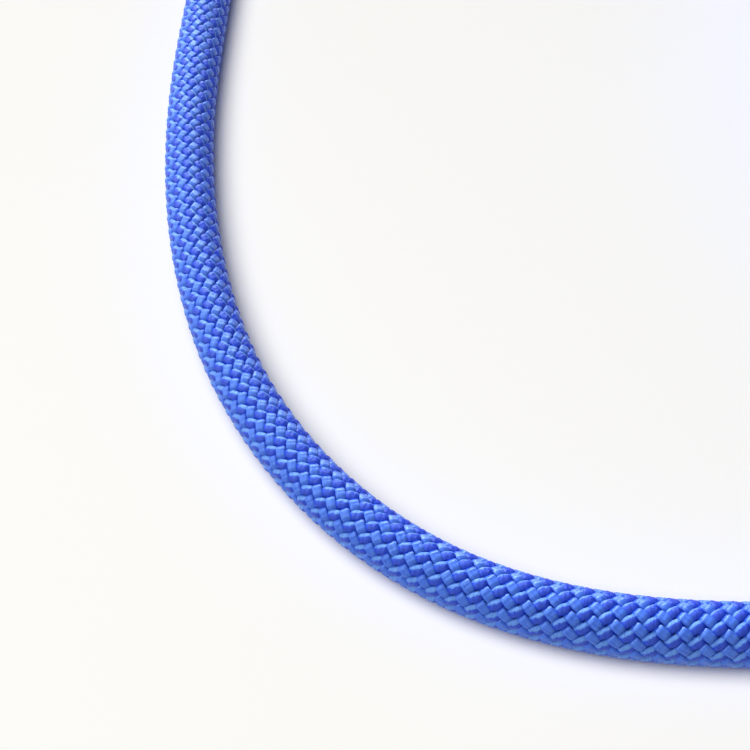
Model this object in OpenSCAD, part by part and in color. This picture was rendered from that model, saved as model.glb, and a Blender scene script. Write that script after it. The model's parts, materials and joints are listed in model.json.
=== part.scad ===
// Dynamic climbing rope, kernmantle construction: a braided sheath over a core of
// parallel strands. A short stretch lies in a loose arc, and the rest is wound into
// a neat coil. Both ends are fused and held in a sleeve.
// Millimetres, +Z up, origin on the floor under the middle of the whole rope.

/* [Rope] */
// Diameter over the sheath
rope_d = 9.8; // [9.4:0.1:10.2]
// Thickness of the braided sheath
sheath_t = 0.9; // [0.8:0.05:1.1]
// Clearance between the strands of the core, and between core and sheath
core_gap = 0.05; // [0.03:0.01:0.1]
// Diameter of the marker thread that runs beside the core
thread_d = 0.5; // [0.3:0.05:0.55]

/* [Coil] */
// Radius of the widest turn, at the middle of the cord
coil_r = 105; // [103:0.5:108]
// Loops from the widest turn to the narrowest in one layer
layer_loops = 5.5; // [5.25:0.25:5.75]
// Loops in the whole coil
coil_loops = 20.333; // [18:0.25:21]
// Clear gap between neighbouring turns
turn_gap = 0.6; // [0.5:0.05:0.8]

/* [Ends] */
// Length of the sleeve on each end
sleeve_l = 28; // [20:1:30]
// Wall of the sleeve
sleeve_t = 0.45; // [0.3:0.05:0.6]
// Chamfer on the sleeve's outer rim
sleeve_rim = 0.2; // [0.1:0.05:0.25]
// Clearance between a sleeve and the fused end inside it
sleeve_fit = 0.05; // [0.03:0.01:0.1]
// How far the fused end stands out of its sleeve
tip_out = 5; // [3.5:0.5:7]
// Rounding of the fused end
tip_round = 2.5; // [1.5:0.25:3]

/* [Hidden] */
// The free stretch's route on the floor, from the sleeved end to the coil
ROUTE = [
    [-159.5, 77], [-162, 55.5], [-164, 36.5], [-165, 15.5], [-164.5, -2],
    [-161.5, -24.5], [-156, -44], [-147.5, -61.5], [-137, -75.5], [-120, -89.5],
    [-99, -98.5], [-78, -102.5], [-59, -104], [-38.5, -104.5], [-18.5, -105],
    [2, -105], [22, -105], [38.5, -105], [52.5, -105]
];
inner_count = 3;            // strands round the middle of the core
outer_count = 9;            // strands round those
strand_count = inner_count + outer_count;
sheath_sides = 12;
strand_sides = 8;
cord_sides = 6;
loop_rings = 24;            // rings in one loop of the coil
climb = 0.5;                // share of a loop in which the coil climbs a layer
flat_depth = rope_d / 10;   // how deep the floor cuts the faceted coil flat

// The rope's radius, and the room inside its sheath
rope_r = rope_d / 2;
core_r = rope_r - sheath_t;
bore_r = core_r / cos(180 / sheath_sides);

// Strands fill the room: three touch in the middle, and nine stand on those
pack = 1 + 1 / (2 * sin(180 / inner_count));
strand_r = (core_r - core_gap * (1 + pack)) / (1 + 2 * pack);
inner_r = (2 * strand_r + core_gap) / (2 * sin(180 / inner_count));
outer_r = inner_r + 2 * strand_r + core_gap;
strand_step = 360 / outer_count;

// The marker thread lies in the groove between two outer strands, against the sheath
thread_r = thread_d / 2;
thread_at = core_r - core_gap - thread_r;
groove_angle = 2.5 * strand_step;

// The coil
turn_step = rope_d + turn_gap;
floor_z = rope_r - flat_depth;
ring_count = round(coil_loops * loop_rings);
route_end = ROUTE[len(ROUTE) - 1];
coil_at = route_end + [rope_d, coil_r];

// The fused ends
tip_r = rope_r - sleeve_t - sleeve_fit;

sheath_blue = [0.13, 0.33, 0.80];
core_white = [0.93, 0.93, 0.90];
thread_red = [0.80, 0.16, 0.14];
sleeve_grey = [0.16, 0.17, 0.20];
fused_blue = [0.06, 0.14, 0.42];

function strand_name(i) = str("core_strand_", i < 9 ? "0" : "", i + 1);

// ---- Sweeping --------------------------------------------------------------

function unit(v) = v / norm(v);

// Direction of a path at its point i: along the first or last run at its ends
function heading(path, i) =
    unit(path[min(i + 1, len(path) - 1)] - path[max(i - 1, 0)]);

// A point beside the path at its point i, at a radius and an angle round the cord
function beside(path, i, r, angle) =
    let (side = unit(cross(heading(path, i), [0, 0, 1])),
         up = cross(side, heading(path, i)))
    path[i] + r * (cos(angle) * side + sin(angle) * up);

// One path shifted sideways within the cord
function shifted(path, r, angle) =
    [for (i = [0 : len(path) - 1]) beside(path, i, r, angle)];

// The rings of a faceted cord, with a flat side down, as one list of points
function rings(path, centres, r, sides) =
    [for (i = [0 : len(path) - 1], k = [0 : sides - 1])
        beside(path, i, r, (k + 0.5) * 360 / sides - 90) + centres[i] - path[i]];

// Side faces between rings, which start at point first of the list
function walls(count, sides, first, inward) =
    [for (i = [0 : count - 2], k = [0 : sides - 1])
        let (a = first + i * sides + k,
             b = first + i * sides + (k + 1) % sides)
        for (f = [[a, b, b + sides], [a, b + sides, a + sides]])
            inward ? [f[2], f[1], f[0]] : f];

// A fan that closes one ring
function fan(sides, first, last) =
    [for (k = [1 : sides - 2])
        last ? [first, first + k, first + k + 1] : [first, first + k + 1, first + k]];

// A solid cord. path sets how the rings stand, and centres where they are
module cord(path, centres, r, sides, lowest = undef) {
    raw = rings(path, centres, r, sides);
    points = is_undef(lowest) ? raw : [for (p = raw) [p.x, p.y, max(p.z, lowest)]];
    count = len(path);
    polyhedron(points, concat(
        walls(count, sides, 0, false),
        fan(sides, 0, false),
        fan(sides, (count - 1) * sides, true)
    ));
}

// A hollow cord, with a flat ring at each end
module hollow_cord(path, r, bore, sides) {
    count = len(path);
    inside = count * sides;
    last = (count - 1) * sides;
    polyhedron(
        concat(rings(path, path, r, sides), rings(path, path, bore, sides)),
        concat(
            walls(count, sides, 0, false),
            walls(count, sides, inside, true),
            [for (k = [0 : sides - 1])
                let (n = (k + 1) % sides)
                for (f = [[k, inside + k, inside + n], [k, inside + n, n]]) f],
            [for (k = [0 : sides - 1])
                let (n = (k + 1) % sides, a = last, b = inside + last)
                for (f = [[a + k, b + n, b + k], [a + k, a + n, b + n]]) f]
        )
    );
}

// ---- Free stretch ----------------------------------------------------------

stretch = [for (p = ROUTE) [p.x, p.y, rope_r]];

module sheath() {
    color(sheath_blue) hollow_cord(stretch, rope_r, bore_r, sheath_sides);
}

// Strands 0 to 2 lie round the middle, and the others round those
module core_strand(i) {
    inner = i < inner_count;
    r = inner ? inner_r : outer_r;
    angle = inner ? i * 360 / inner_count : (i - inner_count) * strand_step;
    color(core_white)
        cord(stretch, shifted(stretch, r, angle), strand_r, strand_sides);
}

module marker_thread() {
    color(thread_red)
        cord(stretch, shifted(stretch, thread_at, groove_angle),
            thread_r, strand_sides);
}

// ---- Coil ------------------------------------------------------------------

// Each layer spirals in or out at one rate, and turns back where it climbs
function layer(t) = floor(t / layer_loops);
function in_layer(t) = t - layer(t) * layer_loops;
function coil_radius(t) =
    coil_r - turn_step * (layer(t) % 2 == 0 ? in_layer(t) : layer_loops - in_layer(t));

// A smooth step from 0 to 1
function eased(x) = let (c = min(1, max(0, x))) c * c * (3 - 2 * c);

// The cord starts at its own radius above the floor, settles on its flat in the
// first half loop, and then climbs a layer at each turning back
function coil_height(t) =
    floor_z + flat_depth * (1 - eased(t / climb))
    + turn_step * (
        eased((t - layer_loops) / climb + 0.5)
        + eased((t - 2 * layer_loops) / climb + 0.5)
        + eased((t - 3 * layer_loops) / climb + 0.5)
    );

function coil_point(t) =
    let (r = coil_radius(t), a = 360 * t - 90)
    [coil_at.x + r * cos(a), coil_at.y + r * sin(a), coil_height(t)];

turns = [for (i = [0 : ring_count]) coil_point(i / loop_rings)];
coil_start = [route_end.x, route_end.y, rope_r];
coil_last = turns[ring_count];
last_run = unit([coil_last.x - turns[ring_count - 1].x,
                 coil_last.y - turns[ring_count - 1].y, 0]);
coil_end = coil_last + rope_d * last_run;

// One diameter of straight cord at each end of the turns
coil_path = concat([coil_start], turns, [coil_end]);

// The least gap between two turns, from the points that lie over half a loop apart
least_gap = min([
    for (i = [0 : ring_count - loop_rings / 2])
        min([for (j = [i + loop_rings / 2 : ring_count]) norm(turns[i] - turns[j])])
]) - rope_d;
echo(least_gap_in_coil = least_gap);

module coil() {
    color(sheath_blue) cord(coil_path, coil_path, rope_r, cord_sides, lowest = 0);
}

// ---- Ends ------------------------------------------------------------------

// Lays a part that is built along +Z at a point, along a level direction
module laid(at, along) {
    translate(at)
        rotate([0, 0, atan2(along.y, along.x)])
            rotate([0, 90, 0])
                children();
}

// The fused end fills its sleeve and stands out of it with a rounded rim
module fused_end(at, along) {
    length = sleeve_l + tip_out;
    color(fused_blue)
        laid(at, along)
            rotate_extrude($fn = 64)
                union() {
                    square([tip_r, length - tip_round]);
                    square([tip_r - tip_round, length]);
                    translate([tip_r - tip_round, length - tip_round])
                        intersection() {
                            circle(tip_round, $fn = 64);
                            square(tip_round);
                        }
                }
}

module end_sleeve(at, along) {
    inside = tip_r + sleeve_fit;
    color(sleeve_grey)
        laid(at, along)
            rotate_extrude($fn = 64)
                polygon([
                    [inside, 0], [rope_r, 0], [rope_r, sleeve_l - sleeve_rim],
                    [rope_r - sleeve_rim, sleeve_l], [inside, sleeve_l]
                ]);
}

end_a = stretch[0];
along_a = -heading(stretch, 0);

sheath();
marker_thread();
for (i = [0 : strand_count - 1])
    core_strand(i);
end_sleeve(end_a, along_a);  // end_sleeve_a
fused_end(end_a, along_a);  // fused_end_a
coil();
end_sleeve(coil_end, last_run);  // end_sleeve_b
fused_end(coil_end, last_run);  // fused_end_b
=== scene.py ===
"""Dynamic climbing rope, dressed for rendering.

The rope's braided sheath is built strand by strand along the free stretch, where it is seen from
close by. Round the coil it is one tube, in pieces, with the braid as relief. Work is in metres, in
the CAD frame.
"""
import json
import math

import bpy
import numpy as np
from mathutils import Matrix, Vector

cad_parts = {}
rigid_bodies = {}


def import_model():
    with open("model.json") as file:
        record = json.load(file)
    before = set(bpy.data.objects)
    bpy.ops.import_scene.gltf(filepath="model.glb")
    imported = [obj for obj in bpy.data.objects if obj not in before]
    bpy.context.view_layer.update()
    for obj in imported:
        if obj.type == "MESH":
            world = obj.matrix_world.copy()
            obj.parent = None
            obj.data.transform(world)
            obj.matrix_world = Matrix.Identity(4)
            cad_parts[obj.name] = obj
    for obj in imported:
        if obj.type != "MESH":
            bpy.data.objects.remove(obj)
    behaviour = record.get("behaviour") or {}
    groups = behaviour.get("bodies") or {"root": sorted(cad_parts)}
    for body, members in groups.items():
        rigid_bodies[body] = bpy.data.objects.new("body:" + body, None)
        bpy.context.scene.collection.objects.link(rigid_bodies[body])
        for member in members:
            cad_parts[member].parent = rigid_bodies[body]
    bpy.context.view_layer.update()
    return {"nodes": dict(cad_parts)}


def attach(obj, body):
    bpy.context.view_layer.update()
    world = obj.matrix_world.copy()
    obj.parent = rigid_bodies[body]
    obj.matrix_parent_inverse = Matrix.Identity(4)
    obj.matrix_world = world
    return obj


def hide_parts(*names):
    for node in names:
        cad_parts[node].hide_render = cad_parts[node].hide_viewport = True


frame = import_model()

MM = 0.001
TAU = 2 * math.pi

# ---- Driving dimensions, as in the CAD source ----------------------------------------------------

ROPE_D = 9.8 * MM
ROPE_R = ROPE_D / 2

# The free stretch's route on the floor, from the sleeved end to the coil, in millimetres
ROUTE = (
    (-159.5, 77), (-162, 55.5), (-164, 36.5), (-165, 15.5), (-164.5, -2),
    (-161.5, -24.5), (-156, -44), (-147.5, -61.5), (-137, -75.5), (-120, -89.5),
    (-99, -98.5), (-78, -102.5), (-59, -104), (-38.5, -104.5), (-18.5, -105),
    (2, -105), (22, -105), (38.5, -105), (52.5, -105),
)
COIL_R = 105 * MM              # radius of the widest turn, at the middle of the cord
LAYER_LOOPS = 5.5              # loops from the widest turn to the narrowest in one layer
COIL_LOOPS = 20.333
LOOP_RINGS = 24                # rings in one loop of the CAD coil
TURN_STEP = ROPE_D + 0.6 * MM
COIL_TOP = 35.12 * MM          # middle of the cord at its last end, where the CAD sleeve is
CLIMB = 0.5                    # share of a loop in which the coil climbs a layer

# ---- The braid -----------------------------------------------------------------------------------

PAIRS = 12                     # strands laid each way round
PITCH = 3.34 * MM              # from one float to the next along the rope
STRAND_CYCLE = 4.21 * MM       # a strand's own length from one float to the next
FIRST_FLOAT = 0.500            # cycles of the braid at the sleeved end

# How the braid changes along the rope, as pairs of metres from the sleeved end and a value: its
# pitch as a share of PITCH, its turn round the rope in degrees, and its girth as a share
PITCH_SHIFTS = (
    (0.00, 1.027), (0.04, 1.033), (0.08, 1.0055), (0.12, 1.003), (0.16, 0.975), (0.20, 0.999),
    (0.24, 1.0),
)
TWIST = (
    (0.00, -7.0), (0.03, 0.2), (0.06, 7.8), (0.09, 14.0), (0.12, 22.0), (0.145, 26.5),
    (0.17, 27.0), (0.21, 30.3),
)
GIRTH = (
    (0.00, 1.0), (0.04, 1.02), (0.09, 1.0), (0.14, 0.982), (0.18, 1.0), (0.226, 1.04),
    (0.30, 1.0),
)

# The strands laid clockwise are flat pairs of yarns, and the others are two plies twisted
# together. The entries of each form:
#   half_w, half_h   half its width and half its height
#   middle           radius of its middle where it runs under, and where it runs over
#   over_at          cycles of the braid at which it runs over
#   flatter          how much flatter its crests are than a plain wave's
#   square           the powers that shape its section, across and out
#   lean             how far its upper side leans across, as a share of the height
#   groove           depth of the groove between its two yarns
#   ply_turn         length in which its plies turn once, or 0 where it has none
#   ply_notch        how deep the plies notch its outline, as a share
#   sides            points round its section
CLOCKWISE = {
    "half_w": 0.88 * MM, "half_h": 0.48 * MM, "middle": (3.40 * MM, 4.40 * MM), "over_at": 0.0,
    "flatter": 0.21, "square": (0.72, 0.90), "lean": 0.0, "groove": 0.05 * MM,
    "ply_turn": 0, "ply_notch": 0, "sides": 24,
}
COUNTER = {
    "half_w": 0.895 * MM, "half_h": 0.66 * MM, "middle": (3.40 * MM, 4.30 * MM), "over_at": 0.5,
    "flatter": 0.16, "square": (0.95, 1.12), "lean": 0.05, "groove": 0,
    "ply_turn": STRAND_CYCLE / 2, "ply_notch": 0.06, "sides": 28,
}
GROOVE_W = 0.16 * MM           # how wide the groove between two yarns spreads
NOTCH_W = 0.13                 # how wide the notch between two plies spreads, in half turns

# The braid round the coil, as relief and as colours that paint its shade, darker the lower the
# relief
RELIEF_DEPTH = 0.60 * MM
RELIEF_CROWN = 1.7             # how steeply a strand falls off to its edges, in the relief
COLOUR_CROWN = 1.85            # and in the painted shade that darkens toward them
FLOAT_BEND = 0.95              # how far a float bends down at its ends, as a share of a half wave

# ---- How finely it is built ----------------------------------------------------------------------

ROUTE_STEP = 0.25 * MM         # between points of the free stretch's centreline
LOOP_POINTS = 720              # points in one loop of the coil's centreline
END_POINTS = 20                # points in the straight run after the coil
CYCLE_STEP = 0.5 * MM          # between points where the braid's cycles are summed
BODY_STEP, BODY_SIDES = 2.5 * MM, 16
STRAND_STEP = 0.16 * MM
RELIEF_STEP, RELIEF_SIDES = PITCH / 4, 48
COIL_PIECES = 6
NEAR = 1e-9                    # metres within which two places on the rope are the same

# Strips that a tube is cut into, side by side, to bake its materials, and the margin in each
BODY_STRIPS, STRAND_STRIPS, COIL_STRIPS = 40, 9, 30
STRIP_MARGIN = 0.04


# ---- Lines and curves ----------------------------------------------------------------------------

def unit(vectors):
    """Rows of vectors, each at length 1."""
    return vectors / np.linalg.norm(vectors, axis=1)[:, None]


def steps(points):
    """The distance from each point of a line to the next."""
    return np.linalg.norm(np.diff(points, axis=0), axis=1)


def eased(x):
    """A smooth step from 0 to 1."""
    c = np.clip(x, 0, 1)
    return c * c * (3 - 2 * c)


def smooth_between(stations, at):
    """A smooth curve through (place, value) stations, level past both ends."""
    places, values = np.array(stations, float).T
    slopes = np.gradient(values, places)
    slopes[0] = slopes[-1] = 0
    x = np.clip(at, places[0], places[-1])
    k = np.clip(np.searchsorted(places, x, side="right") - 1, 0, len(places) - 2)
    run = places[k + 1] - places[k]
    t = (x - places[k]) / run
    a, b = (1 + 2 * t) * (1 - t) ** 2, t * (1 - t) ** 2
    c, d = t * t * (3 - 2 * t), t * t * (t - 1)
    return a * values[k] + b * run * slopes[k] + c * values[k + 1] + d * run * slopes[k + 1]


def spline(points, step):
    """A natural cubic spline through points, sampled about every step."""
    p = np.array(points, float)
    h = steps(p)
    knots = np.concatenate([[0], np.cumsum(h)])
    n = len(p)
    a = np.zeros((n, n))
    b = np.zeros((n, p.shape[1]))
    a[0, 0] = a[-1, -1] = 1
    for i in range(1, n - 1):
        a[i, i - 1:i + 2] = h[i - 1], 2 * (h[i - 1] + h[i]), h[i]
        b[i] = 6 * ((p[i + 1] - p[i]) / h[i] - (p[i] - p[i - 1]) / h[i - 1])
    m = np.linalg.solve(a, b)
    t = np.linspace(0, knots[-1], int(knots[-1] / step) + 1)
    k = np.clip(np.searchsorted(knots, t, side="right") - 1, 0, n - 2)
    u, v, w = (knots[k + 1] - t)[:, None], (t - knots[k])[:, None], h[k][:, None]
    return ((m[k] * u ** 3 + m[k + 1] * v ** 3) / (6 * w)
            + (p[k] / w - m[k] * w / 6) * u + (p[k + 1] / w - m[k + 1] * w / 6) * v)


def resampled(points, step):
    """The same line with points a steady step apart, and how far along it each one lies."""
    at = np.concatenate([[0], np.cumsum(steps(points))])
    s = np.linspace(0, at[-1], int(round(at[-1] / step)) + 1)
    return np.stack([np.interp(s, at, points[:, k]) for k in range(3)], -1), s


# ---- The rope's centreline -----------------------------------------------------------------------

def coil_points(t):
    """Points of the coil at t, in loops from its widest turn."""
    layer = np.floor(t / LAYER_LOOPS)
    f = t - LAYER_LOOPS * layer
    r = COIL_R - TURN_STEP * np.where(layer % 2 == 0, f, LAYER_LOOPS - f)
    a = TAU * (t - 0.25)
    rise = (COIL_TOP - ROPE_R) / 3
    z = ROPE_R + rise * sum(eased((t - k * LAYER_LOOPS) / CLIMB + 0.5) for k in (1, 2, 3))
    middle = np.array(ROUTE[-1]) * MM + [ROPE_D, COIL_R]
    return np.stack([middle[0] + r * np.cos(a), middle[1] + r * np.sin(a), z], -1)


def rope_line():
    """The whole centreline from end sleeve to end sleeve, and where the free stretch ends on it."""
    free = spline(np.array(ROUTE) * MM, ROUTE_STEP)
    free = np.c_[free, np.full(len(free), ROPE_R)]
    turns = coil_points(np.linspace(0, COIL_LOOPS, int(COIL_LOOPS * LOOP_POINTS)))
    before, last = coil_points(np.array([COIL_LOOPS - 1 / LOOP_RINGS, COIL_LOOPS]))
    out = last - before
    out[2] = 0
    out /= np.linalg.norm(out)
    run = np.arange(1, END_POINTS + 1)[:, None] / END_POINTS * ROPE_D * out
    return np.concatenate([free, turns, turns[-1] + run]), float(steps(free).sum())


LINE, STRETCH = rope_line()

# The coil's sheath starts a little before the strands end in it
STRANDS_TO = STRETCH + 0.5 * ROPE_D
COIL_SHEATH_FROM = STRETCH + 0.45 * ROPE_D - PITCH / 8


class Rope:
    """The rope's frame along its centreline: places, the ways up and sideways, and the braid."""

    def __init__(self, step, first=0.0, last=math.inf):
        points, s = resampled(LINE, step)
        keep = (s >= first - NEAR) & (s <= last + NEAR)
        self.at, self.points = s[keep], points[keep]
        tangent = unit(np.gradient(points, axis=0))[keep]
        self.up = unit(np.array([0, 0, 1]) - tangent * tangent[:, 2:3])
        self.side = np.cross(tangent, self.up)
        fine = np.arange(0, s[-1] + MM, CYCLE_STEP)
        rate = 1 / (PITCH * smooth_between(PITCH_SHIFTS, fine))
        cycles = np.concatenate([[0], np.cumsum((rate[1:] + rate[:-1]) / 2 * np.diff(fine))])
        self.cycles = FIRST_FLOAT + np.interp(self.at, fine, cycles)
        self.twist = np.radians(smooth_between(TWIST, self.at))
        self.girth = smooth_between(GIRTH, self.at)

    def around(self, angle, radius):
        """Points at an angle from the top and a radius, one or more for each place on the rope."""
        angle, radius = np.broadcast_arrays(angle, radius)
        shape = (len(self.at),) + (1,) * (angle.ndim - 1) + (3,)
        up, side, middle = (v.reshape(shape) for v in (self.up, self.side, self.points))
        outward = np.cos(angle)[..., None] * up + np.sin(angle)[..., None] * side
        return middle + radius[..., None] * outward


# ---- Meshes --------------------------------------------------------------------------------------

def corners(near, far, low, high):
    """The UVs of each face's four corners, from those of its two edges each way."""
    pairs = (near, low), (near, high), (far, high), (far, low)
    return np.stack([np.stack(pair, -1) for pair in pairs], 1)


def tube(name, rings, along, way_round, strips):
    """A closed tube from rings of points.

    Its UVs are the yarn's own coordinates: along at each ring, and from 0 to way_round in one way
    round. A second UV map lays it out flat, in strips, for baking.
    """
    n, k, _ = rings.shape
    i, j = np.meshgrid(np.arange(n - 1), np.arange(k), indexing="ij")
    i, j = i.ravel(), j.ravel()
    nxt = (j + 1) % k
    quads = np.stack([i * k + j, i * k + nxt, (i + 1) * k + nxt, (i + 1) * k + j], -1)
    loops = np.concatenate([quads.ravel(), np.arange(k)[::-1], (n - 1) * k + np.arange(k)])
    starts = np.concatenate([np.arange(len(quads)) * 4, [quads.size, quads.size + k]])
    mesh = bpy.data.meshes.new(name)
    mesh.vertices.add(n * k)
    mesh.loops.add(len(loops))
    mesh.polygons.add(len(starts))
    mesh.vertices.foreach_set("co", rings.reshape(-1).astype(np.float32))
    mesh.loops.foreach_set("vertex_index", loops.astype(np.int32))
    mesh.polygons.foreach_set("loop_start", starts.astype(np.int32))
    mesh.polygons.foreach_set("use_smooth", np.arange(len(starts)) < len(quads))
    rows = -(-(n - 1) // strips)
    strip, row = i // rows, i % rows
    room = 1 - 2 * STRIP_MARGIN
    low, high = ((strip + STRIP_MARGIN + room * edge / k) / strips for edge in (j, j + 1))
    flat = corners(row / rows, (row + 1) / rows, low, high)
    across = np.arange(k + 1) * way_round / k
    yarn = corners(along[i], along[i + 1], across[j], across[j + 1])
    for label, uv in (("OFBake", flat), ("yarn", yarn)):
        values = np.concatenate([uv.reshape(-1, 2), np.zeros((2 * k, 2))])
        layer = mesh.uv_layers.new(name=label)
        layer.data.foreach_set("uv", values.ravel().astype(np.float32))
    mesh.update()
    mesh.validate()
    piece = bpy.data.objects.new(name, mesh)
    bpy.context.collection.objects.link(piece)
    return piece


def section(form, lengths):
    """A strand's section at each length along it: points across and out from its middle."""
    t = TAU * (np.arange(form["sides"]) / form["sides"] - 0.25)
    x = form["half_w"] * np.sign(np.cos(t)) * np.abs(np.cos(t)) ** form["square"][0]
    y = form["half_h"] * np.sign(np.sin(t)) * np.abs(np.sin(t)) ** form["square"][1]
    x = x - form["lean"] * np.maximum(y, 0)
    y = y - form["groove"] * np.exp(-(x / GROOVE_W) ** 2) * (y > 0)
    pinch = np.ones((len(lengths), 1))
    if form["ply_turn"]:
        turned = TAU * lengths[:, None] / form["ply_turn"]
        between = np.abs((t[None] - turned) / TAU * 2 % 1 - 0.5)
        pinch = 1 - form["ply_notch"] * np.exp(-(between / NOTCH_W) ** 2)
    return x * pinch, y * pinch


def strand(name, rope, number, way):
    """One strand of the sheath: way is 1 for those laid clockwise and -1 for the others."""
    form = CLOCKWISE if way > 0 else COUNTER
    angle = rope.twist + TAU / PAIRS * (number + way * rope.cycles)
    phase = TAU * (rope.cycles - form["over_at"])
    wave = (np.cos(phase) - form["flatter"] * np.cos(3 * phase)) / (1 - form["flatter"])
    low, high = form["middle"]
    middle_r = ((low + high) / 2 + (high - low) / 2 * wave) * rope.girth
    line = rope.around(angle, middle_r)
    tangent = unit(np.gradient(line, axis=0))
    out = rope.around(angle, middle_r + MM) - line
    out = unit(out - (out * tangent).sum(1)[:, None] * tangent)
    across = np.cross(tangent, out)
    lengths = (rope.cycles - form["over_at"]) * STRAND_CYCLE
    x, y = section(form, lengths)
    rings = line[:, None] + x[..., None] * across[:, None] + y[..., None] * out[:, None]
    return tube(name, rings, lengths / MM, 1, STRAND_STRIPS)


def relief(u, v):
    """The height of the coil's braid from 0 to 1, at u cycles along and v strands round."""
    a, b = v - u, v + u
    row_a, row_b = np.round(a), np.round(b)
    off_a, off_b = a - row_a, b - row_b
    over = (row_b - row_a) % 2 == 0
    across, along = np.where(over, off_a, off_b), np.where(over, off_b, off_a)
    crown = np.sqrt(np.clip(1 - (RELIEF_CROWN * across) ** 2, 0, 1))
    return crown * np.cos(math.pi * along * FLOAT_BEND)


# ---- Colours and finishes ------------------------------------------------------------------------

# Each shade from its darkest filaments to its lightest
BLUES = ((0.024, 0.088, 0.58), (0.043, 0.136, 0.71), (0.074, 0.198, 0.83))
# Painted light and shade: the plied strands' lit flank in the next blues, their shaded flank in the
# ones after
PAINTED_LIT_BLUES = ((0.062, 0.184, 0.64), (0.107, 0.264, 0.76), (0.160, 0.364, 0.86))
PAINTED_SHADED_BLUES = ((0.005, 0.026, 0.48), (0.010, 0.042, 0.61), (0.017, 0.066, 0.74))
FILAMENT_STOPS = (0.25, 0.5, 0.78)          # where on the filaments' noise a shade's colours lie
GAP_SHADE_BLUE = (0.004, 0.014, 0.13)             # painted shade: the dark put where the relief sinks between the strands
BRAID_STOPS = (0.12, 0.34, 0.62, 0.95)      # where on the relief the painted gap shade and each set of blues lie: darker as it falls
SHEEN_TINT = (0.55, 0.87, 0.93, 1)          # the colour of the yarn's highlights

FILAMENTS = 18.0               # waves of the filaments' noise in one way round a strand
FILAMENT_CHANGE = 0.6          # and in a millimetre along it
FILAMENT_ROUGH = 0.6           # how much of that noise is fine
FILAMENT_RELIEF = 0.10 * MM
BRUSHED = {"Anisotropic": 0.9, "Anisotropic Rotation": 0.25}    # shines across the filaments

PAINTED_SHADE_EDGE = 0.55                # where the painted shade ends and the painted light begins, as a share of the section
PAINTED_SHADE_FRAY = 0.16                # how far the edge between painted shade and painted light is frayed, as a share
PAINTED_SHADE_SOFT = 0.02                # half the width over which the painted shade and the painted light blend
FRAY_ALONG, FRAY_ROUND = 2.2, 2.0           # waves of that frayed edge in a millimetre, and round

BRAID_PAINTED_SHADE_SOFT = 0.06          # the blend of painted shade and painted light on the coil's plied strands, in cycles of the braid
BRAID_RELIEF = 0.35 * MM       # relief that the coil's material adds to its mesh
BRAID_ROUGH, BRAID_GLOSS = 0.44, 0.6

GRAIN = 0.08                   # how far a plain material's spots differ from its colour
GRAIN_SCALE = 900.0            # spots in a metre
GRAIN_RELIEF = 0.05 * MM
GRAIN_STOPS = (0.35, 0.65)     # where on the noise the darkest and the lightest spots lie


class Nodes:
    """The node tree of a new material or world, with short calls to add to it."""

    def __init__(self, owner, shader="Principled BSDF"):
        owner.use_nodes = True
        self.owner = owner
        self.tree = owner.node_tree
        self.shader = self.tree.nodes[shader]

    def feed(self, node, inputs):
        """Sets a node's inputs, by name or number, or links another node's outputs to them."""
        for label, value in dict(inputs).items():
            if isinstance(value, bpy.types.NodeSocket):
                self.tree.links.new(value, node.inputs[label])
            else:
                node.inputs[label].default_value = value

    def add(self, kind, inputs=(), **settings):
        """A new node with its settings made and its inputs fed."""
        node = self.tree.nodes.new("ShaderNode" + kind)
        for key, value in settings.items():
            setattr(node, key, value)
        self.feed(node, inputs)
        return node

    def math(self, operation, *values, clamp=False):
        """The result of an operation on numbers or sockets."""
        node = self.add("Math", enumerate(values), operation=operation, use_clamp=clamp)
        return node.outputs[0]

    def vector(self, *values):
        """A vector of three numbers or sockets."""
        return self.add("CombineXYZ", enumerate(values)).outputs[0]

    def yarn_place(self):
        """The yarn's own coordinates: along it, and the way round."""
        uv = self.add("UVMap", uv_map="yarn").outputs[0]
        place = self.add("SeparateXYZ", {0: uv}).outputs
        return place[0], place[1]

    def ramp(self, value, places, colours):
        """Colours at places on a value, and blends between them."""
        node = self.add("ValToRGB", {0: value})
        elements = node.color_ramp.elements
        while len(elements) < len(places):
            elements.new(0.5)
        for element, place, colour in zip(elements, places, colours):
            element.position = place
            element.color = (*colour, 1)
        return node.outputs[0]

    def rise(self, value, start, end, low=0.0, **settings):
        """Goes from low to 1 as a value goes from start to end."""
        inputs = {"Value": value, "From Min": start, "From Max": end, "To Min": low}
        return self.add("MapRange", inputs, **settings).outputs["Result"]

    def mixed(self, factor, low, high):
        """The colour low where factor is 0, and high where it is 1."""
        return self.add("Mix", {0: factor, 6: low, 7: high}, data_type="RGBA").outputs[2]

    def mixed_shader(self, factor, low, high):
        """The shader low where factor is 0, and high where it is 1."""
        return self.add("MixShader", {0: factor, 1: low, 2: high}).outputs[0]

    def noise(self, vector, scale, detail=2.0, rough=0.5):
        """Noise from 0 to 1, about a half in the mean."""
        inputs = {"Vector": vector, "Scale": scale, "Detail": detail, "Roughness": rough}
        return self.add("TexNoise", inputs).outputs["Fac"]

    def bump(self, height, distance, strength=1.0):
        """The normal of a relief: distance is how far it stands out from 0 to 1."""
        inputs = {"Height": height, "Distance": distance, "Strength": strength}
        return self.add("Bump", inputs).outputs[0]

    def seen(self):
        """1 on rays that show things to the camera, also in gloss and glass, and 0 on light."""
        rays = self.add("LightPath").outputs
        plain = self.math("MAXIMUM", rays["Is Camera Ray"], rays["Is Glossy Ray"])
        return self.math("MAXIMUM", plain, rays["Is Transmission Ray"])


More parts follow.
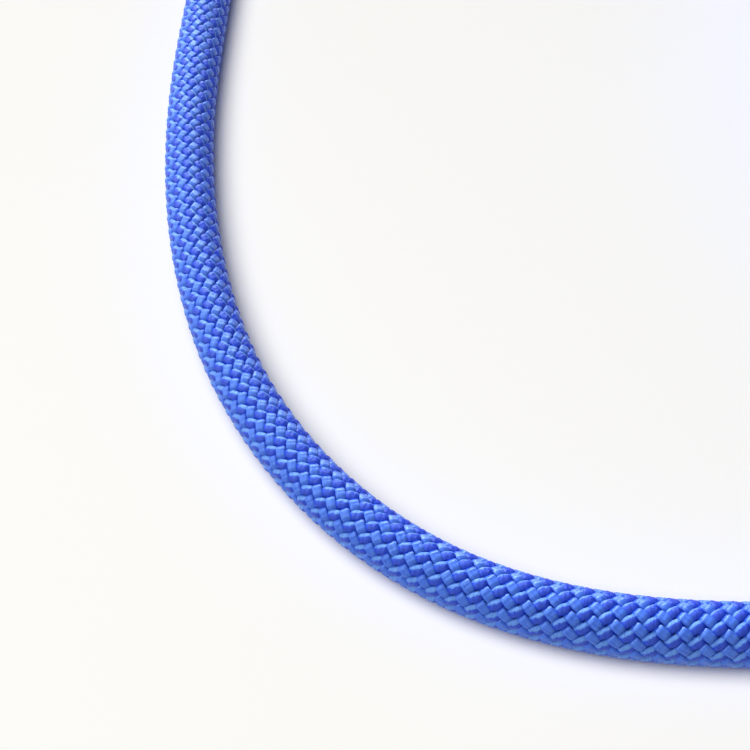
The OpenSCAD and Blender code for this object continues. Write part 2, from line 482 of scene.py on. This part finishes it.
def yarn_material(name, seed, lean, rough, gloss, shade, painted_shade=None):
    """Polyamide yarn: fine filaments, each with its own height and colour.

    lean is how far they lean across the strand, in ways round it a millimetre. Given a second set
    of blues, the side of the section before a frayed edge is painted in them as the strand's shaded
    flank and the rest in the first set as its lit flank: painted shade and painted light.
    """
    n = Nodes(bpy.data.materials.new(name))
    along, share = n.yarn_place()
    across = n.math("ADD", share, n.math("MULTIPLY", along, lean))
    place = n.vector(
        n.math("MULTIPLY", across, FILAMENTS), n.math("MULTIPLY", along, FILAMENT_CHANGE), seed)
    fine = n.noise(place, 1.0, rough=FILAMENT_ROUGH)
    colour = n.ramp(fine, FILAMENT_STOPS, shade)
    # Painted shade and painted light: one flank of the strand darker, the other lighter, with a
    # frayed edge
    if painted_shade:
        teeth_at = n.vector(
            n.math("MULTIPLY", along, FRAY_ALONG), n.math("MULTIPLY", share, FRAY_ROUND), seed)
        teeth = n.noise(teeth_at, 1.0)
        frayed = n.math("ADD", share, n.math("MULTIPLY", teeth, PAINTED_SHADE_FRAY))
        edge = PAINTED_SHADE_EDGE + PAINTED_SHADE_FRAY / 2
        first = n.rise(frayed, edge - PAINTED_SHADE_SOFT, edge + PAINTED_SHADE_SOFT)
        colour = n.mixed(first, n.ramp(fine, FILAMENT_STOPS, painted_shade), colour)
    tangent = n.add("Tangent", direction_type="UV_MAP", uv_map="yarn").outputs[0]
    n.feed(n.shader, {
        "Base Color": colour, "Normal": n.bump(fine, FILAMENT_RELIEF), "Roughness": rough,
        "Tangent": tangent, "Specular IOR Level": gloss, "Specular Tint": SHEEN_TINT, **BRUSHED,
    })
    return n.owner


def braid_material(name):
    """The coil's braid in painted light and shade: darker as its relief falls, lit and shaded plied
    halves.
    """
    n = Nodes(bpy.data.materials.new(name))
    u, v = n.yarn_place()
    a, b = n.math("SUBTRACT", v, u), n.math("ADD", v, u)
    row_a, row_b = n.math("ROUND", a), n.math("ROUND", b)
    off_a, off_b = n.math("SUBTRACT", a, row_a), n.math("SUBTRACT", b, row_b)
    under = n.math("FLOORED_MODULO", n.math("SUBTRACT", row_b, row_a), 2.0)
    over = n.math("SUBTRACT", 1.0, under)
    across = n.math("ADD", n.math("MULTIPLY", off_a, over), n.math("MULTIPLY", off_b, under))
    along = n.math("ADD", n.math("MULTIPLY", off_b, over), n.math("MULTIPLY", off_a, under))
    # Painted shade: darker from a strand's crest to its edges and ends and into the gaps; plied
    # strands painted lit on one half, shaded on the other
    wide = n.math("MULTIPLY", across, COLOUR_CROWN)
    crown = n.math("SQRT", n.math("SUBTRACT", 1.0, n.math("MULTIPLY", wide, wide), clamp=True))
    bend = n.math("COSINE", n.math("MULTIPLY", along, math.pi * FLOAT_BEND))
    height = n.math("MULTIPLY", crown, bend)
    flat, pale, deep = (n.ramp(height, BRAID_STOPS, (GAP_SHADE_BLUE, *blues))
                        for blues in (BLUES, PAINTED_LIT_BLUES, PAINTED_SHADED_BLUES))
    plied = n.mixed(n.rise(across, -BRAID_PAINTED_SHADE_SOFT, BRAID_PAINTED_SHADE_SOFT), pale, deep)
    n.feed(n.shader, {
        "Base Color": n.mixed(over, plied, flat), "Normal": n.bump(height, BRAID_RELIEF),
        "Roughness": BRAID_ROUGH, "Specular IOR Level": BRAID_GLOSS, "Specular Tint": SHEEN_TINT,
    })
    return n.owner


def plain_material(name, colour, rough):
    """Rubber, melted yarn, the core's fibre or the painted shade under the strands: one colour with
    a fine grain.
    """
    n = Nodes(bpy.data.materials.new(name))
    spots = n.noise(n.add("TexCoord").outputs["Object"], GRAIN_SCALE, detail=3.0)
    dark = tuple(c * (1 - GRAIN) for c in colour)
    light = tuple(min(1, c * (1 + GRAIN)) for c in colour)
    n.feed(n.shader, {
        "Base Color": n.ramp(spots, GRAIN_STOPS, (dark, light)),
        "Normal": n.bump(spots, GRAIN_RELIEF, strength=0.25), "Roughness": rough,
    })
    return n.owner


# ---- Camera --------------------------------------------------------------------------------------

CAMERA_AT = (-0.1310, -0.1842, 0.19551)
CAMERA_TIP = 54.3              # degrees down from level
CAMERA_ROLL = -5               # degrees turned in its frame
FOCAL_PX, PHOTO_PX = 1311, 750
SENSOR = 36                    # millimetres


def make_camera():
    """The photograph's own view: from above, tipped down, and turned a little in its frame."""
    tip, roll = math.radians(CAMERA_TIP), math.radians(CAMERA_ROLL)
    forward = Vector((0, math.cos(tip), -math.sin(tip)))
    up = Vector((0, math.sin(tip), math.cos(tip)))
    right = Vector((1, 0, 0))
    x = math.cos(roll) * right + math.sin(roll) * up
    y = -math.sin(roll) * right + math.cos(roll) * up
    data = bpy.data.cameras.new("camera")
    data.sensor_fit = "HORIZONTAL"
    data.sensor_width = SENSOR
    data.lens = SENSOR * FOCAL_PX / PHOTO_PX
    data.clip_start = 0.01
    camera = bpy.data.objects.new("camera", data)
    rows = [(x[k], y[k], -forward[k], CAMERA_AT[k]) for k in range(3)]
    camera.matrix_world = Matrix((*rows, (0, 0, 0, 1)))
    bpy.context.collection.objects.link(camera)
    bpy.context.scene.camera = camera


# ---- The rope's body, its strands and its coil ---------------------------------------------------

BODY_R = 3.98 * MM


def as_sheath(piece, material):
    """Gives a piece of the rope its material and its body."""
    piece.data.materials.append(material)
    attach(piece, "root")


def make_body(material):
    """The sheath's inner face along the free stretch and the core of the coil, in a dark navy that
    paints the shade seen between the strands.
    """
    rope = Rope(BODY_STEP)
    t = TAU * np.arange(BODY_SIDES) / BODY_SIDES
    rings = rope.around(np.broadcast_to(t, (len(rope.at), BODY_SIDES)), BODY_R)
    body = tube("rope_body", rings, rope.at / MM, 1, BODY_STRIPS)
    as_sheath(body, material)
    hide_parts("sheath", "coil")
    return body, rope


def make_strands(flat_yarn, plied_yarn):
    """The sheath of the free stretch, strand by strand."""
    rope = Rope(STRAND_STEP, last=STRANDS_TO)
    for i in range(PAIRS):
        for way, letter, material in ((1, "z", flat_yarn), (-1, "s", plied_yarn)):
            as_sheath(strand(f"sheath_strand_{letter}{i + 1:02d}", rope, i, way), material)


def make_coil_sheath(material):
    """The coil's sheath: one tube with the braid as relief, in pieces that meet ring to ring."""
    at = Rope(RELIEF_STEP).at
    first = np.searchsorted(at, COIL_SHEATH_FROM)
    cuts = at[np.linspace(first, len(at) - 1, COIL_PIECES + 1).round().astype(int)]
    v = np.arange(RELIEF_SIDES) * PAIRS / RELIEF_SIDES
    made = []
    for k in range(COIL_PIECES):
        rope = Rope(RELIEF_STEP, cuts[k], cuts[k + 1])
        radius = ROPE_R - RELIEF_DEPTH * (1 - relief(rope.cycles[:, None], v[None]))
        rings = rope.around(rope.twist[:, None] + TAU / PAIRS * v[None], radius)
        piece = tube(f"sheath_coil_{k + 1}", rings, rope.cycles, PAIRS, COIL_STRIPS)
        as_sheath(piece, material)
        made.append(piece)
    return made


# ---- Stage ---------------------------------------------------------------------------------------

FLOOR_HALF = 4.0
PAPER = (0.90, 0.90, 0.87, 1)               # the paper's own colour, which the light falls on
PAPER_SEEN = (1.055, 1.045, 1.003, 1)       # as the camera sees it, brighter, so that it is white
PAPER_SEEN_FAR = (0.975, 0.975, 0.97, 1)    # its plain white away from the rope, where light fades
FADE = (0.28, 0.70)                         # where it turns plain, in metres from the origin

# Soft lamps: name, shape, size, watts, direction round from +X and up from the floor, distance,
# and what the lamp lights. The paper has a lamp of its own, and those that shape the rope pass it
# by: so the paper comes out white at a level that leaves the blues as they are
LIGHTS = (
    ("overhead", "DISK", (1.0, 1.0), 5.0, 190, 66, 1.6, "all"),
    ("paper", "DISK", (1.6, 1.6), 21.0, 203, 70, 1.6, "paper"),
    ("window", "RECTANGLE", (0.8, 0.60), 30.0, 100, 31, 1.6, "rope"),
    ("corner", "RECTANGLE", (0.8, 0.60), 11.5, 140, 31, 1.6, "rope"),
    ("left", "RECTANGLE", (0.9, 0.60), 9.0, 190, 28, 1.6, "rope"),
    ("front", "RECTANGLE", (0.9, 0.60), 3.0, 275, 34, 1.6, "rope"),
)
WORLD_LEVEL = 0.06             # light from all round


def make_floor():
    """White paper that keeps the rope's shadow."""
    mesh = bpy.data.meshes.new("floor")
    w = FLOOR_HALF
    mesh.from_pydata([(-w, -w, 0), (w, -w, 0), (w, w, 0), (-w, w, 0)], [], [(0, 1, 2, 3)])
    floor = bpy.data.objects.new("floor", mesh)
    bpy.context.collection.objects.link(floor)
    n = Nodes(bpy.data.materials.new("floor_paper"))
    n.feed(n.shader, {"Base Color": PAPER, "Roughness": 0.9, "Specular IOR Level": 0.0})
    near = n.add("BsdfDiffuse", {"Color": PAPER_SEEN}).outputs[0]
    far = n.add("Emission", {"Color": PAPER_SEEN_FAR}).outputs[0]
    place = n.add("NewGeometry").outputs["Position"]
    reach = n.add("VectorMath", {0: place}, operation="LENGTH").outputs["Value"]
    seen = n.mixed_shader(n.rise(reach, *FADE, interpolation_type="SMOOTHSTEP"), near, far)
    surface = n.mixed_shader(n.seen(), n.shader.outputs[0], seen)
    n.feed(n.tree.nodes["Material Output"], {"Surface": surface})
    mesh.materials.append(n.owner)


def make_lamps():
    """The lamps of LIGHTS, made once all the pieces are there for them to light."""
    lit = {name: bpy.data.collections.new(name) for name in ("rope", "paper")}
    for piece in bpy.data.objects:
        if piece.type == "MESH":
            lit["paper" if piece.name == "floor" else "rope"].objects.link(piece)
    for name, shape, size, watts, turn, rise, distance, lights in LIGHTS:
        light = bpy.data.lights.new(name, "AREA")
        light.shape = shape
        light.size, light.size_y = size
        light.energy = watts
        lamp = bpy.data.objects.new(name, light)
        turn, rise = math.radians(turn), math.radians(rise)
        level = math.cos(rise)
        way = Vector((math.cos(turn) * level, math.sin(turn) * level, math.sin(rise)))
        lamp.location = way * distance
        lamp.rotation_euler = (-way).to_track_quat("-Z", "Y").to_euler()
        bpy.context.collection.objects.link(lamp)
        if lights in lit:
            lamp.light_linking.receiver_collection = lit[lights]


def make_world():
    """White where it is seen, and a little light all round."""
    world = bpy.data.worlds.new("studio")
    bpy.context.scene.world = world
    n = Nodes(world, "Background")
    strength = n.rise(n.seen(), 0.0, 1.0, low=WORLD_LEVEL)
    n.feed(n.shader, {"Color": (1, 1, 1, 1), "Strength": strength})


# ---- Everything ----------------------------------------------------------------------------------

make_camera()
flat_yarn = yarn_material("yarn_flat", seed=3.1, lean=0.0, rough=0.42, gloss=0.95, shade=BLUES)
# The plied strands are painted lighter on one flank and darker on the other, as light and shade
plied_yarn = yarn_material(
    "yarn_plied", seed=7.3, lean=-MM / COUNTER["ply_turn"], rough=0.38, gloss=0.68,
    shade=PAINTED_LIT_BLUES, painted_shade=PAINTED_SHADED_BLUES)
# A deep navy, darker than any yarn: painted shade for what shows between the strands
inside = plain_material("sheath_inside_painted_shade", (0.006, 0.02, 0.16), 0.8)
coil_braid = braid_material("braid_coil")
body, body_rope = make_body(inside)
make_strands(flat_yarn, plied_yarn)
coil_sheath = make_coil_sheath(coil_braid)

# The materials of the CAD nodes that stay, by how their names start
LOOKS = {
    "end_sleeve": plain_material("sleeve_rubber", (0.022, 0.024, 0.030), 0.5),
    "fused_end": plain_material("fused_nylon", (0.012, 0.045, 0.26), 0.25),
    "core_strand": plain_material("core_white", (0.82, 0.82, 0.78), 0.6),
    "marker_thread": plain_material("marker_red", (0.55, 0.03, 0.02), 0.5),
}
for name in frame["nodes"]:
    for start, look in LOOKS.items():
        if name.startswith(start):
            slots = bpy.data.objects[name].data.materials
            slots.clear()
            slots.append(look)

make_floor()
make_lamps()
make_world()
bpy.context.scene.view_settings.view_transform = "Standard"
